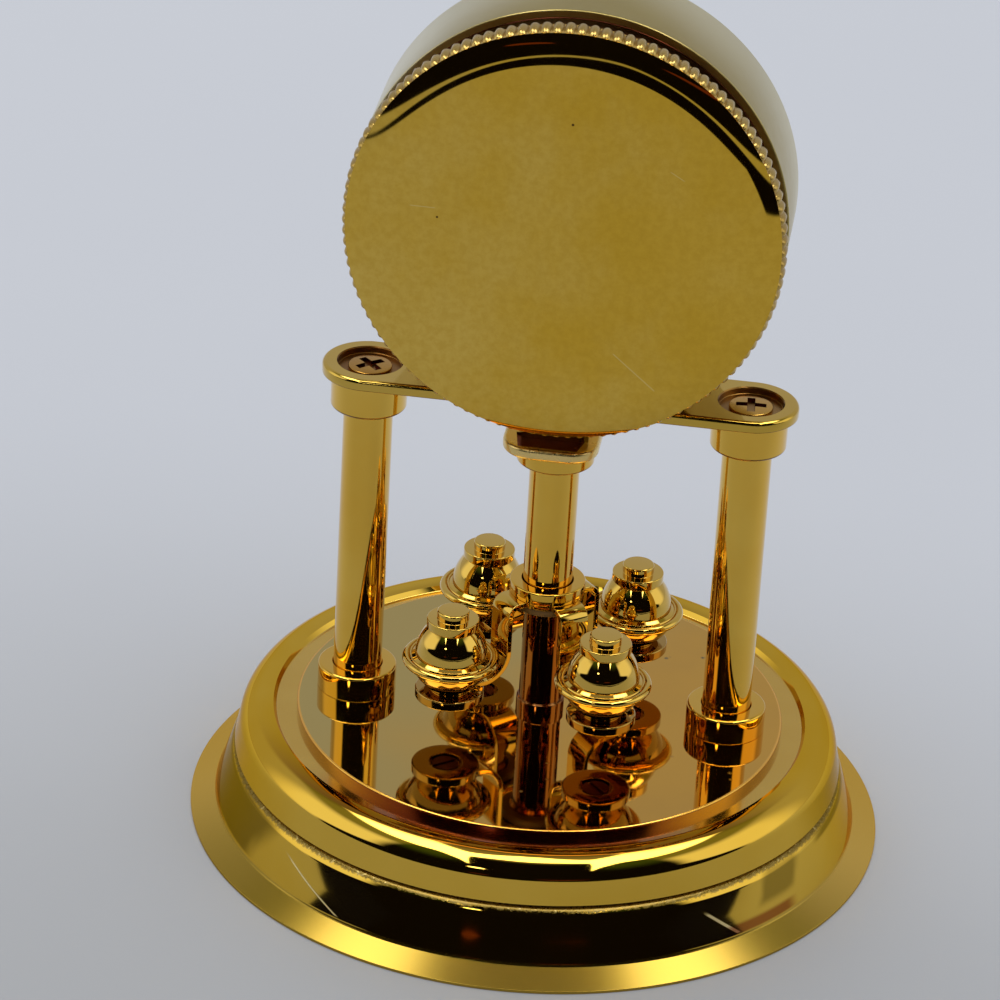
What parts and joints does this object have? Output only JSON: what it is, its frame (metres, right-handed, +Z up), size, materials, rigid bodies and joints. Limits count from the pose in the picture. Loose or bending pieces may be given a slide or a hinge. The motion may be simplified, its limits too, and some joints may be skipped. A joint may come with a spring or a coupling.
{
  "type": "desk clock with calendar",
  "caption": "Small round desk clock on a bridge over two pillars, with a push-fit back cover and a four-weight pendulum turning on a centre post above a round stepped base.",
  "frame": {"origin": "centre of the base's underside, on the centre post's axis", "axes": "+Z up; the dial faces -Y and the back cover faces +Y; the two outer pillars stand along X"},
  "size_m": [0.058, 0.058, 0.0728],
  "materials": {
    "polished_brass": "mirror polished and lacquered",
    "satin_brass": "fine satin",
    "steel": "plain machined",
    "cell_steel": "bright nickel plate",
    "felt": "matt pressed felt",
    "glass": "clear polished",
    "rubber": "matt",
    "dial_white": "satin enamel",
    "hand_black": "gloss paint",
    "holder_plastic": "moulded",
    "movement_plastic": "moulded",
    "washer_plastic": "moulded nylon"
  },
  "bodies": {
    "stand": {"base_shell": "polished_brass", "deck_plate": "polished_brass", "base_weight": "steel", "base_felt_pad": "felt", "base_screws": "steel", "left_pillar": "polished_brass", "right_pillar": "polished_brass", "centre_post": "polished_brass", "left_base_collar": "polished_brass", "right_base_collar": "polished_brass", "left_top_collar": "polished_brass", "right_top_collar": "polished_brass", "centre_top_collar": "polished_brass", "bridge": "polished_brass", "bridge_screws": "polished_brass", "head_screw": "steel", "thrust_washer": "washer_plastic", "case_shell": "satin_brass", "front_bezel": "polished_brass", "crystal": "glass", "crystal_gasket": "rubber", "inner_flange": "dial_white", "dial": "dial_white", "movement_holder": "holder_plastic", "movement_housing": "movement_plastic", "battery_cell": "cell_steel", "battery_clip": "steel"},
    "pendulum": {"pendulum_hub": "polished_brass", "pendulum_spider": "polished_brass", "weight_screws": "polished_brass", "weight_body_1": "polished_brass", "weight_foot_1": "polished_brass", "weight_body_2": "polished_brass", "weight_foot_2": "polished_brass", "weight_body_3": "polished_brass", "weight_foot_3": "polished_brass", "weight_body_4": "polished_brass", "weight_foot_4": "polished_brass"},
    "minute_work": {"minute_hand": "hand_black", "minute_arbor": "steel"},
    "hour_work": {"hour_hand": "hand_black", "hour_pipe": "polished_brass"},
    "calendar": {"date_ring": "dial_white"},
    "knob": {"setting_knob": "movement_plastic"},
    "cover": {"back_cover": "polished_brass"}
  },
  "joints": [
    {"name": "pendulum_spin", "type": "hinge", "parent": "stand", "child": "pendulum", "pos_m": [0, 0, 0.0205], "axis": [0, 0, 1], "continuous": true},
    {"name": "minute_turn", "type": "hinge", "parent": "stand", "child": "minute_work", "pos_m": [0, 0, 0.05508], "axis": [0, 1, 0], "continuous": true},
    {"name": "hour_turn", "type": "hinge", "parent": "stand", "child": "hour_work", "pos_m": [0, 0, 0.05508], "axis": [0, 1, 0], "continuous": true},
    {"name": "date_turn", "type": "hinge", "parent": "stand", "child": "calendar", "pos_m": [0, 0, 0.05508], "axis": [0, 1, 0], "continuous": true},
    {"name": "knob_turn", "type": "hinge", "parent": "stand", "child": "knob", "pos_m": [0, 0, 0.05048], "axis": [0, 1, 0], "continuous": true},
    {"name": "cover_pull", "type": "slide", "parent": "stand", "child": "cover", "axis": [0, 1, 0], "range_m": [0, 0.012]}
  ],
  "couplings": [
    {"joint": "hour_turn", "follows": "minute_turn", "ratio": 0.083333},
    {"joint": "date_turn", "follows": "minute_turn", "ratio": 0.0013441},
    {"joint": "knob_turn", "follows": "minute_turn", "ratio": -1}
  ]
}
